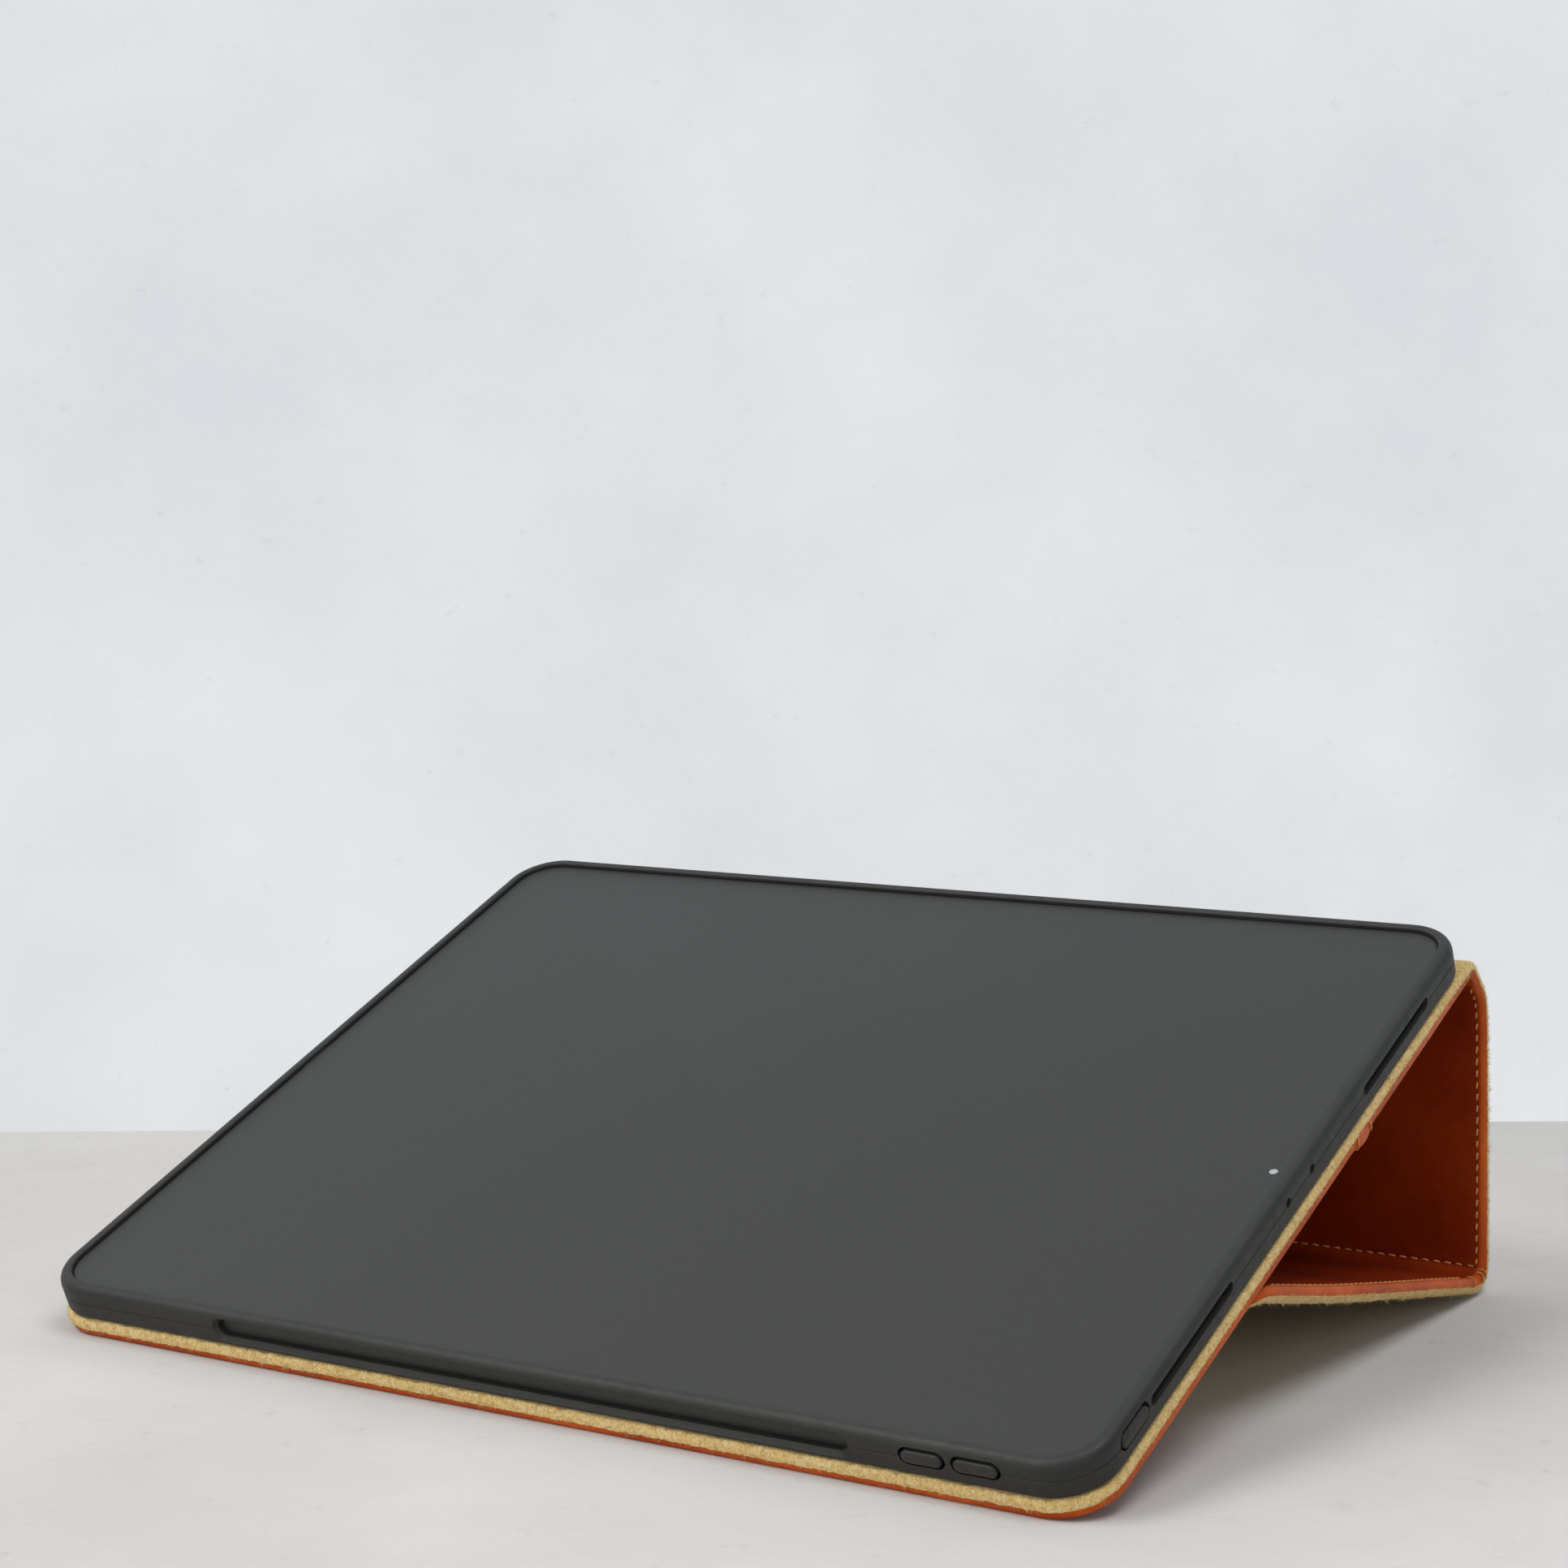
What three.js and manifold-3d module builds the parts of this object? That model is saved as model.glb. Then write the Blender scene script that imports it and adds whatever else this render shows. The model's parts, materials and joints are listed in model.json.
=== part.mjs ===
// Folio case for a large tablet, standing in its low typing position.
// Millimetres, +X along the long front edge, +Y towards the spine, +Z up.
import * as THREE from "three";
import { mergeVertices } from "three/addons/utils/BufferGeometryUtils.js";
import Module from "manifold-3d";

const wasm = await Module();
wasm.setup();

const DEG = Math.PI / 180;

// Moulded tray that grips the tablet.
const SHELL_WIDTH = 286;
const SHELL_DEPTH = 219.5;
const SHELL_HEIGHT = 9.0;
const SHELL_CORNER = 13.4;
const WALL = 2.4;
const FLOOR = 1.2;
const LIP_REACH = 0.9;
const LIP_THICK = 1.2;
const SHELL_GAP = 0.1;
const LINING = 0.3;
const LINING_GAP = 0.08;
const LINING_INSET = 2.9;

// Leather panels: grain leather, a core layer and suede.
const MARGIN = 0.8;
const PANEL = 4.4;
const GRAIN = 1.4;
const CORE = 1.0;
const SUEDE = 1.7;
const LAYER_GAP = 0.15;
const HALF_WIDTH = SHELL_WIDTH / 2 + MARGIN;
const PANEL_CORNER = SHELL_CORNER + MARGIN;
const THREAD_INSET = 2.4;
const THREAD = 0.6;
const GROOVE_EXTRA = 0.5;
const SEAM_CORNER = 4;
const ROW_INSET = 3;
const BOARD_INSET = 9;

// Angles of the panels in the Y-Z plane while the case stands.
const TILT = 22.25;
const SPINE_ANGLE = -42;
const STRUT_ANGLE = -86.7;
const FLAP_ANGLE = 168.2;
const EDGE_ANGLE = 180 + TILT;

// Hinge lines, each measured along the panel before it.
const SPINE_AT = 220;
const SPINE_DROP = 0.6;
const SPINE_OFFSET = 2.0;
const SPINE_LENGTH = 13.4;
const STRUT_LENGTH = 72.2;
const FOLD_OFFSET = 3.0;
const FLAP_START = 4.9;
const FLAP_TOTAL = 151.1;
const EDGE_REST_GAP = 0.2;

// Fold strip across the back, level with the cover's own fold when closed.
const STRIP_FROM = 138.2;
const STRIP_TO = 147.9;
const STRIP_GAP = 0.3;
const BACK_END = 216;

// Camera window through the back.
const WINDOW = 36;
const WINDOW_CORNER = 10;
const WINDOW_X = 116;
const WINDOW_Y = 27;

const BUTTON_HEIGHT = 3.0;
const BUTTON_GAP = 0.45;
const BUTTON_PROUD = 0.4;
const BUTTON_DEPTH = 1.9;
const BUTTON_LEVEL = 4.9;
const BUTTONS = [
  ["volume_down_button", "front", 104.4, 9.5],
  ["volume_up_button", "front", 116.9, 10.1],
  ["power_button", "right", 20.7, 12.2],
];

const PENCIL_LEVEL = 4.6;
const PENCIL_LENGTH = 174;
const PENCIL_HEIGHT = 6.0;
const PORT_LEVEL = 4.9;
const PORT_LENGTH = 17;
const PORT_HEIGHT = 5.8;
const SPEAKERS = [49.8, 169];
const SPEAKER_LENGTH = 42;
const SPEAKER_HEIGHT = 2.6;
const MICS = [102.1, 115.9];
const MIC_LENGTH = 2.4;
const MIC_HEIGHT = 2.2;

const MAGNETS = [-105, -40, 40, 105];
const MAGNET_R = 3.6;
const MAGNET_GAP = 0.4;

// Plan outline of a rounded rectangle, each side pulled in by inset.
function outline(x0, x1, y0, y1, radii, inset) {
  const centres = [
    [x0, y0, 1, 1, 180],
    [x1, y0, -1, 1, 270],
    [x1, y1, -1, -1, 0],
    [x0, y1, 1, -1, 90],
  ];
  const points = [];
  centres.forEach(([x, y, sx, sy, from], corner) => {
    const r = Math.max(radii[corner] - inset, 0.05);
    const steps = radii[corner] > 4 ? 12 : 5;
    const cx = x + sx * (inset + r);
    const cy = y + sy * (inset + r);
    for (let i = 0; i <= steps; i++) {
      const a = (from + (90 * i) / steps) * DEG;
      points.push([cx + r * Math.cos(a), cy + r * Math.sin(a)]);
    }
  });
  return points;
}

// Solid lofted through rings of [inset, height], bottom ring first.
function slab(x0, x1, y0, y1, radii, rings) {
  const position = [];
  const index = [];
  const count = outline(x0, x1, y0, y1, radii, 0).length;
  rings.forEach(([inset, z]) => {
    outline(x0, x1, y0, y1, radii, inset).forEach(([x, y]) => position.push(x, y, z));
  });
  for (let ring = 0; ring < rings.length - 1; ring++) {
    for (let i = 0; i < count; i++) {
      const a = ring * count + i;
      const b = ring * count + ((i + 1) % count);
      index.push(a, b, b + count, a, b + count, a + count);
    }
  }
  const base = position.length / 3;
  const mid = [(x0 + x1) / 2, (y0 + y1) / 2];
  position.push(mid[0], mid[1], rings[0][1]);
  position.push(mid[0], mid[1], rings[rings.length - 1][1]);
  const top = (rings.length - 1) * count;
  for (let i = 0; i < count; i++) {
    const next = (i + 1) % count;
    index.push(base, next, i);
    index.push(base + 1, top + i, top + next);
  }
  const made = new THREE.BufferGeometry();
  made.setAttribute("position", new THREE.Float32BufferAttribute(position, 3));
  made.setIndex(index);
  return made;
}

function toSolid(geometry) {
  const plain = geometry.clone();
  plain.deleteAttribute("normal");
  plain.deleteAttribute("uv");
  const merged = mergeVertices(plain, 1e-4);
  return new wasm.Manifold(
    new wasm.Mesh({
      numProp: 3,
      vertProperties: new Float32Array(merged.attributes.position.array),
      triVerts: new Uint32Array(merged.index.array),
    }),
  );
}

function toGeometry(solid) {
  const mesh = solid.getMesh();
  const made = new THREE.BufferGeometry();
  made.setAttribute("position", new THREE.BufferAttribute(mesh.vertProperties, 3));
  made.setIndex(new THREE.BufferAttribute(mesh.triVerts, 1));
  return made;
}

function cut(geometry, cutters) {
  let solid = toSolid(geometry);
  cutters.forEach((cutter) => {
    solid = solid.subtract(toSolid(cutter));
  });
  return toGeometry(solid);
}

function keep(geometry, box) {
  return toGeometry(toSolid(geometry).intersect(toSolid(box)));
}

function block(x0, x1, y0, y1, z0, z1) {
  const made = new THREE.BoxGeometry(x1 - x0, y1 - y0, z1 - z0);
  return made.translate((x0 + x1) / 2, (y0 + y1) / 2, (z0 + z1) / 2);
}

// Closed loop of thread, or the groove it lies in, along a rounded rectangle.
function loop(x0, x1, y0, y1, radius, width, z0, z1) {
  const half = width / 2;
  const inner = Math.max(radius - half, 0.4);
  const outer = slab(
    x0 - half,
    x1 + half,
    y0 - half,
    y1 + half,
    [1, 1, 1, 1].map(() => inner + width),
    [
      [0, z0],
      [0, z1],
    ],
  );
  const hole = slab(
    x0 + half,
    x1 - half,
    y0 + half,
    y1 - half,
    [inner, inner, inner, inner],
    [
      [0, z0 - 1],
      [0, z1 + 1],
    ],
  );
  return cut(outer, [hole]);
}

// Pill standing on a side wall: long axis along the wall, height along Z.
function pill(length, height, rings) {
  const r = height / 2;
  return slab(-length / 2, length / 2, -r, r, [r, r, r, r], rings);
}

const FACING = {
  front: new THREE.Matrix4().makeBasis(
    new THREE.Vector3(1, 0, 0),
    new THREE.Vector3(0, 0, 1),
    new THREE.Vector3(0, -1, 0),
  ),
  right: new THREE.Matrix4().makeBasis(
    new THREE.Vector3(0, 1, 0),
    new THREE.Vector3(0, 0, 1),
    new THREE.Vector3(1, 0, 0),
  ),
  left: new THREE.Matrix4().makeBasis(
    new THREE.Vector3(0, -1, 0),
    new THREE.Vector3(0, 0, 1),
    new THREE.Vector3(-1, 0, 0),
  ),
};

// Moves a piece drawn on a wall so that its local zero lies on the wall's outer face.
function onWall(geometry, wall, along, level) {
  const placed = geometry.clone().applyMatrix4(FACING[wall]);
  if (wall === "front") return placed.translate(along, 0, level);
  const x = wall === "right" ? SHELL_WIDTH / 2 : -SHELL_WIDTH / 2;
  return placed.translate(x, along, level);
}

function wallCut(wall, along, level, length, height) {
  const rings = [
    [0, -WALL - 1],
    [0, 1],
  ];
  return onWall(pill(length, height, rings), wall, along, level);
}

const material = (color, roughness, metalness = 0) =>
  new THREE.MeshStandardMaterial({ color, roughness, metalness });

const LOOKS = {
  tpu: () => material(0x2c2c2e, 0.75),
  lining: () => material(0x55575c, 0.95),
  button: () => material(0x303033, 0.7),
  grain: () => material(0xa4481a, 0.42),
  strip: () => material(0x9c4217, 0.45),
  suede: () => material(0xcfa65a, 0.97),
  board: () => material(0x8b7a62, 0.9),
  magnet: () => material(0x9a9ca0, 0.35, 1),
  thread: () => material(0xd9c39a, 0.8),
};

function piece(group, name, geometry, look) {
  const mesh = new THREE.Mesh(geometry, LOOKS[look]());
  mesh.name = name;
  group.add(mesh);
}

// Frame of one panel: local X stays X, local Y runs along it, local Z is its suede side.
function frame(name, at, angle) {
  const group = new THREE.Group();
  group.name = name;
  group.position.set(0, at[0], at[1]);
  group.rotation.x = angle * DEG;
  return group;
}

function along(at, angle, distance, offset) {
  const c = Math.cos(angle * DEG);
  const s = Math.sin(angle * DEG);
  return [at[0] + distance * c - offset * s, at[1] + distance * s + offset * c];
}

// Heights of the layers above the middle of a panel.
const HALF = PANEL / 2;
const GRAIN_TOP = -HALF + GRAIN;
const CORE_FROM = GRAIN_TOP + LAYER_GAP;
const CORE_TO = CORE_FROM + CORE;
const SUEDE_FROM = CORE_TO + LAYER_GAP;
const GRAIN_RINGS = [
  [1.5, -HALF],
  [0.75, -HALF + 0.15],
  [0.22, -HALF + 0.55],
  [0, -HALF + 1.05],
  [0, GRAIN_TOP],
];
const SUEDE_RINGS = [
  [0, SUEDE_FROM],
  [0, HALF - 0.7],
  [0.3, HALF - 0.2],
  [0.9, HALF],
];
const SQUARE = 0.4;

function grainSlab(y0, y1, radii) {
  return slab(-HALF_WIDTH, HALF_WIDTH, y0, y1, radii, GRAIN_RINGS);
}

function suedeSlab(y0, y1, radii) {
  return slab(-HALF_WIDTH, HALF_WIDTH, y0, y1, radii, SUEDE_RINGS);
}

function boardSlab(y0, y1, radius) {
  return slab(
    -HALF_WIDTH + BOARD_INSET,
    HALF_WIDTH - BOARD_INSET,
    y0,
    y1,
    [radius, radius, 2, 2],
    [
      [0, CORE_FROM],
      [0, CORE_TO],
    ],
  );
}

function threadLoop(y0, y1, radius) {
  const x = HALF_WIDTH - THREAD_INSET;
  return loop(-x, x, y0, y1, radius, THREAD, -HALF - 0.05, -HALF + 0.35);
}

function threadGroove(y0, y1, radius) {
  const x = HALF_WIDTH - THREAD_INSET;
  return loop(-x, x, y0, y1, radius, THREAD + GROOVE_EXTRA, -HALF - 1, -HALF + 0.55);
}

function disc(x, y, z0, z1, r) {
  const made = new THREE.CylinderGeometry(r, r, z1 - z0, 20);
  return made.rotateX(Math.PI / 2).translate(x, y, (z0 + z1) / 2);
}

function windowCut(size, z0, z1) {
  const half = size / 2;
  const r = WINDOW_CORNER + (size - WINDOW) / 2;
  return slab(
    WINDOW_X - half,
    WINDOW_X + half,
    WINDOW_Y - half,
    WINDOW_Y + half,
    [r, r, r, r],
    [
      [0, z0],
      [0, z1],
    ],
  );
}

// Where each panel starts, as [Y, Z], worked out from one hinge line to the next.
const backAt = along([0, 0], TILT, 0, HALF);
const spineAt = along(backAt, TILT, SPINE_AT, HALF - SPINE_DROP);
const strutAt = along(spineAt, SPINE_ANGLE, SPINE_LENGTH, -SPINE_OFFSET);
const foldAt = along(strutAt, STRUT_ANGLE, STRUT_LENGTH, -FOLD_OFFSET);
const flapFoot = along(foldAt, FLAP_ANGLE, 0, FOLD_OFFSET);

// Position in the back's own slope: distance from the front edge, and height.
function onBack([y, z]) {
  const c = Math.cos(TILT * DEG);
  const s = Math.sin(TILT * DEG);
  const dy = y - backAt[0];
  const dz = z - backAt[1];
  return [dy * c + dz * s, dz * c - dy * s];
}

// The free edge starts where the flap's middle comes level with a panel lying under the back.
const climb = onBack(along(flapFoot, FLAP_ANGLE, 1, 0))[1] - onBack(flapFoot)[1];
const EDGE_AT = (-PANEL - EDGE_REST_GAP - onBack(flapFoot)[1]) / climb;
const edgeAt = along(flapFoot, FLAP_ANGLE, EDGE_AT, 0);
const EDGE_MAGNET_LINE = 5.4;
const BACK_MAGNET_LINE = onBack(edgeAt)[0] - EDGE_MAGNET_LINE;

// Back of the case, in the tray's own slope.
const back = frame("back", backAt, TILT);
const fullRadii = [PANEL_CORNER, PANEL_CORNER, SQUARE, SQUARE];
const squareRadii = [SQUARE, SQUARE, SQUARE, SQUARE];
const inner = PANEL_CORNER - THREAD_INSET;
const magnetHoles = MAGNETS.map((x) => disc(x, BACK_MAGNET_LINE, -3, 3, MAGNET_R + MAGNET_GAP));
piece(
  back,
  "back_leather_lower",
  cut(grainSlab(-MARGIN, STRIP_FROM - STRIP_GAP, fullRadii), [
    windowCut(WINDOW + 1, -3, 3),
    threadGroove(-MARGIN + THREAD_INSET, STRIP_FROM - ROW_INSET, inner),
  ]),
  "grain",
);
piece(
  back,
  "back_thread_lower",
  threadLoop(-MARGIN + THREAD_INSET, STRIP_FROM - ROW_INSET, inner),
  "thread",
);
piece(
  back,
  "back_fold_strip",
  slab(-HALF_WIDTH, HALF_WIDTH, STRIP_FROM, STRIP_TO, squareRadii, [
    [1.6, -HALF - 0.55],
    [0.7, -HALF - 0.35],
    [0, -HALF + 0.4],
    [0, GRAIN_TOP],
  ]),
  "strip",
);
piece(
  back,
  "back_leather_upper",
  cut(grainSlab(STRIP_TO + STRIP_GAP, BACK_END, squareRadii), [
    threadGroove(STRIP_TO + ROW_INSET, BACK_END - ROW_INSET, 1),
  ]),
  "grain",
);
piece(
  back,
  "back_thread_upper",
  threadLoop(STRIP_TO + ROW_INSET, BACK_END - ROW_INSET, 1),
  "thread",
);
piece(
  back,
  "back_board_lower",
  cut(boardSlab(8, STRIP_FROM - 4, 14), [...magnetHoles, windowCut(WINDOW + 4, -3, 3)]),
  "board",
);
piece(back, "back_board_upper", boardSlab(STRIP_TO + 4, BACK_END - 4, 2), "board");
MAGNETS.forEach((x, i) => {
  const made = disc(x, BACK_MAGNET_LINE, CORE_FROM + 0.1, CORE_TO - 0.1, MAGNET_R);
  piece(back, "back_magnet_" + (i + 1), made, "magnet");
});
piece(
  back,
  "back_suede",
  cut(suedeSlab(-MARGIN, SPINE_AT - 2, fullRadii), [windowCut(WINDOW + 1, -3, 3)]),
  "suede",
);

// Tray shell, its lining and its buttons.
const shellBase = HALF + SHELL_GAP;
const halfShell = SHELL_WIDTH / 2;
const shellRadii = [1, 1, 1, 1].map(() => SHELL_CORNER);
const body = slab(-halfShell, halfShell, 0, SHELL_DEPTH, shellRadii, [
  [1.3, 0],
  [0.4, 0.4],
  [0, 1.2],
  [0, 6.5],
  [0.2, 7.6],
  [0.75, 8.5],
  [1.6, SHELL_HEIGHT],
]);
const room = slab(-halfShell, halfShell, 0, SHELL_DEPTH, shellRadii, [
  [WALL, FLOOR],
  [WALL, SHELL_HEIGHT - LIP_THICK],
]);
const mouth = slab(-halfShell, halfShell, 0, SHELL_DEPTH, shellRadii, [
  [WALL + LIP_REACH, SHELL_HEIGHT - LIP_THICK - 1],
  [WALL + LIP_REACH, SHELL_HEIGHT + 1],
]);
const buttonCuts = BUTTONS.map(([, wall, at, length]) =>
  wallCut(
    wall,
    at,
    BUTTON_LEVEL,
    length + 2 * BUTTON_GAP,
    BUTTON_HEIGHT + 2 * BUTTON_GAP,
  ),
);
const speakerCuts = ["right", "left"].flatMap((wall) =>
  SPEAKERS.map((at) => wallCut(wall, at, BUTTON_LEVEL, SPEAKER_LENGTH, SPEAKER_HEIGHT)),
);
const micCuts = MICS.map((at) =>
  wallCut("right", at, BUTTON_LEVEL, MIC_LENGTH, MIC_HEIGHT),
);
const shell = cut(body, [
  room,
  mouth,
  wallCut("front", 0, PENCIL_LEVEL, PENCIL_LENGTH, PENCIL_HEIGHT),
  wallCut("left", SHELL_DEPTH / 2, PORT_LEVEL, PORT_LENGTH, PORT_HEIGHT),
  windowCut(WINDOW, -1, 3),
  ...buttonCuts,
  ...speakerCuts,
  ...micCuts,
]).translate(0, 0, shellBase);
piece(back, "tray_shell", shell, "tpu");

const lining = cut(
  slab(-halfShell, halfShell, 0, SHELL_DEPTH, shellRadii, [
    [LINING_INSET, FLOOR + LINING_GAP],
    [LINING_INSET, FLOOR + LINING_GAP + LINING],
  ]),
  [windowCut(WINDOW + 2, 0, 3)],
).translate(0, 0, shellBase);
piece(back, "tray_lining", lining, "lining");

const buttonGroup = frame("buttons", backAt, TILT);
BUTTONS.forEach(([name, wall, at, length]) => {
  const cap = pill(length, BUTTON_HEIGHT, [
    [0, -BUTTON_DEPTH],
    [0, BUTTON_PROUD - 0.35],
    [0.4, BUTTON_PROUD],
  ]);
  const placed = onWall(cap, wall, at, BUTTON_LEVEL).translate(0, 0, shellBase);
  piece(buttonGroup, name, placed, "button");
});

// Spine between the back and the strut.
const spine = frame("spine", spineAt, SPINE_ANGLE);
piece(
  spine,
  "spine_leather",
  grainSlab(0.2, SPINE_LENGTH - 0.9, squareRadii).translate(0, 0, -SPINE_OFFSET),
  "grain",
);
piece(
  spine,
  "spine_suede",
  suedeSlab(0.3, SPINE_LENGTH - 2.4, squareRadii).translate(0, 0, -SPINE_OFFSET),
  "suede",
);

// Strut: the upright part of the cover.
const strut = frame("strut", strutAt, STRUT_ANGLE);
const strutEnd = STRUT_LENGTH - 0.4;
const STRUT_SEAM_FROM = 3.5;
piece(
  strut,
  "strut_leather",
  cut(grainSlab(0.9, strutEnd, squareRadii), [
    threadGroove(STRUT_SEAM_FROM, strutEnd - ROW_INSET, 1),
  ]),
  "grain",
);
piece(strut, "strut_thread", threadLoop(STRUT_SEAM_FROM, strutEnd - ROW_INSET, 1), "thread");
piece(strut, "strut_board", boardSlab(6, strutEnd - 5, 2), "board");
piece(strut, "strut_suede", suedeSlab(2.5, strutEnd, squareRadii), "suede");

// Flap: the lower part of the cover, ending in an edge that bends to lie on the back.
const flap = frame("flap", foldAt, FLAP_ANGLE);
const edgeRadii = [SQUARE, SQUARE, PANEL_CORNER, PANEL_CORNER];
const far = 400;
const flapGrain = grainSlab(FLAP_START, FLAP_TOTAL, edgeRadii);
const flapSuede = suedeSlab(FLAP_START, FLAP_TOTAL, edgeRadii);
const flapPart = (geometry, y0, y1) => keep(geometry, block(-far, far, y0, y1, -9, 9));
const flapThreadTo = EDGE_AT - 4;
piece(
  flap,
  "flap_leather",
  cut(flapPart(flapGrain, 0, EDGE_AT - 0.2), [
    threadGroove(FLAP_START + ROW_INSET, flapThreadTo, SEAM_CORNER),
  ]).translate(0, 0, FOLD_OFFSET),
  "grain",
);
piece(
  flap,
  "flap_thread",
  threadLoop(FLAP_START + ROW_INSET, flapThreadTo, SEAM_CORNER).translate(0, 0, FOLD_OFFSET),
  "thread",
);
piece(
  flap,
  "flap_board",
  boardSlab(FLAP_START + 5, EDGE_AT - 6, 2).translate(0, 0, FOLD_OFFSET),
  "board",
);
piece(
  flap,
  "flap_suede",
  flapPart(flapSuede, 0, EDGE_AT - 0.9).translate(0, 0, FOLD_OFFSET),
  "suede",
);
piece(
  flap,
  "cover_fold_strip",
  slab(-HALF_WIDTH, HALF_WIDTH, 0.4, FLAP_START - 0.3, squareRadii, [
    [0.5, -HALF + 0.1],
    [0, -HALF + 0.7],
    [0, 0.5],
    [0.4, 1.0],
  ]).translate(0, 0, FOLD_OFFSET),
  "strip",
);

const edge = frame("edge", edgeAt, EDGE_ANGLE);
piece(
  edge,
  "edge_leather",
  flapPart(flapGrain, EDGE_AT + 0.2, far).translate(0, -EDGE_AT, 0),
  "grain",
);
piece(
  edge,
  "edge_suede",
  flapPart(flapSuede, EDGE_AT + 0.9, far).translate(0, -EDGE_AT, 0),
  "suede",
);
MAGNETS.forEach((x, i) => {
  const made = disc(x, EDGE_MAGNET_LINE, CORE_FROM + 0.1, CORE_TO - 0.1, MAGNET_R);
  piece(edge, "edge_magnet_" + (i + 1), made, "magnet");
});

const root = new THREE.Group();
root.name = "tablet_case";
root.add(back, buttonGroup, spine, strut, flap, edge);

// Origin at the middle of the bounding box's underside.
root.updateMatrixWorld(true);
const bounds = new THREE.Box3().setFromObject(root, true);
root.position.set(0, -(bounds.min.y + bounds.max.y) / 2, -bounds.min.z);

export default root;
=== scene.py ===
"""Looks of the folio tablet case: leather, suede, stitching and moulded tray, on a pale floor."""

import json
import math
import random

import bmesh
import bpy
import numpy as np
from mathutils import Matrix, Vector, noise
from mathutils.geometry import delaunay_2d_cdt

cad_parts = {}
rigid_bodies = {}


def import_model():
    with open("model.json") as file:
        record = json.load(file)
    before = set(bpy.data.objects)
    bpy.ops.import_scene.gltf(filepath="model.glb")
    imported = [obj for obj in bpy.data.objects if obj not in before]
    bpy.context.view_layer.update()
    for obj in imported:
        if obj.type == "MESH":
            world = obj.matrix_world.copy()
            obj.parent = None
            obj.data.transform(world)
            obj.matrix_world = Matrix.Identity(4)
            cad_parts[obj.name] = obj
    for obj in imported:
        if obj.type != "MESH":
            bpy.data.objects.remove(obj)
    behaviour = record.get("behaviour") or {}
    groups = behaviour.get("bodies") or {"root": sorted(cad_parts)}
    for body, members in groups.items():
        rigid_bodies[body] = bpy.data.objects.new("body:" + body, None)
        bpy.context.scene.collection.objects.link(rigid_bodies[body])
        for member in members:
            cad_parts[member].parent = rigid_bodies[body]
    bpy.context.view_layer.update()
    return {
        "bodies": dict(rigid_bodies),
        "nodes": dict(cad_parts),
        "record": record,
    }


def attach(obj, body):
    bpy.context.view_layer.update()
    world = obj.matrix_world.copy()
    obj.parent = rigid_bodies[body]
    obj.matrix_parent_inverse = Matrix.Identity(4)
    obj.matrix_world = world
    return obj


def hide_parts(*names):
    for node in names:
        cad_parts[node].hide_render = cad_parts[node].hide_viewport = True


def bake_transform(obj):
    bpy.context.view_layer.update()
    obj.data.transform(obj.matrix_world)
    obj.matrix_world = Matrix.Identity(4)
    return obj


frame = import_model()
nodes = frame["nodes"]

MM = 0.001

# ---------------------------------------------------------------- sizes, in millimetres

TILT = math.radians(22.25)
COS, SIN = math.cos(TILT), math.sin(TILT)
BACK_Y, BACK_Z = -107.17354, 1.91629

HALF_WIDTH = 143.8
CORNER = 14.2
FREE_CORNER = 18.0
HALF_PANEL = 2.2
FRONT = -0.8

SHELL_BASE = 2.3
SHELL_X = 143.0
SHELL_DEPTH = 219.5
SHELL_CORNER = 13.4
WALL = 2.4
SHELL_FLOOR = 1.2
LIP_INSET = 3.3

WINDOW_X, WINDOW_V, WINDOW, WINDOW_CORNER = 116.0, 27.0, 36.0, 10.0
STRIP_FROM, STRIP_TO = 138.2, 147.9
SEAM_INSET = 2.5
PITCH = 3.0

# Middle line of the leather past the back, as (Y, Z).
BEND = [
    (94.6, 85.15),
    (97.2, 82.4),
    (101.1, 79.1),
    (104.2, 76.2),
    (105.4, 72.6),
    (106.0, 68.8),
    (107.5, 47.8),
    (108.3, 26.0),
    (108.7, 4.6),
    (104.6, 2.35),
    (100.6, 2.95),
    (72.0, 8.7),
    (42.0, 14.55),
    (9.7, 21.1),
    (-26.0, 29.15),
    (-28.2, 29.4),
    (-31.6, 28.4),
    (-35.4, 27.2),
    (-41.0, 25.0),
]
SPINE_MIDDLE = (99.2, 80.7)
STRUT_FOOT = (108.7, 4.7)
FLAP_HEEL = (97.2, 3.3)

# Along the path: where grain leather meets suede, above the middle line, and half the thickness.
# The leather thins at the spine, past the cover fold and towards the free edge at END_AT.
END_AT = 455.5
SPLIT_AT = [-0.8, 5.0, 12.0, 200.0, 236.0, 296.0, 312.0, 460.0]
SPLIT = [-0.05, 0.2, 0.75, 0.75, -0.8, -0.8, 0.3, 0.3]
HALF_AT = [0.0, 212.0, 219.0, 238.0, 246.0, 296.0, 312.0, END_AT - 17.0, END_AT - 10.0, END_AT]
HALF = [2.2, 2.2, 1.95, 1.95, 2.2, 2.2, 2.0, 2.0, 1.3, 1.2]


def on_back(x, v, n):
    """A point in the tray's own slope, in metres in the row frame."""
    return Vector(
        (x * MM, (BACK_Y + v * COS - n * SIN) * MM, (BACK_Z + v * SIN + n * COS) * MM)
    )


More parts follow.
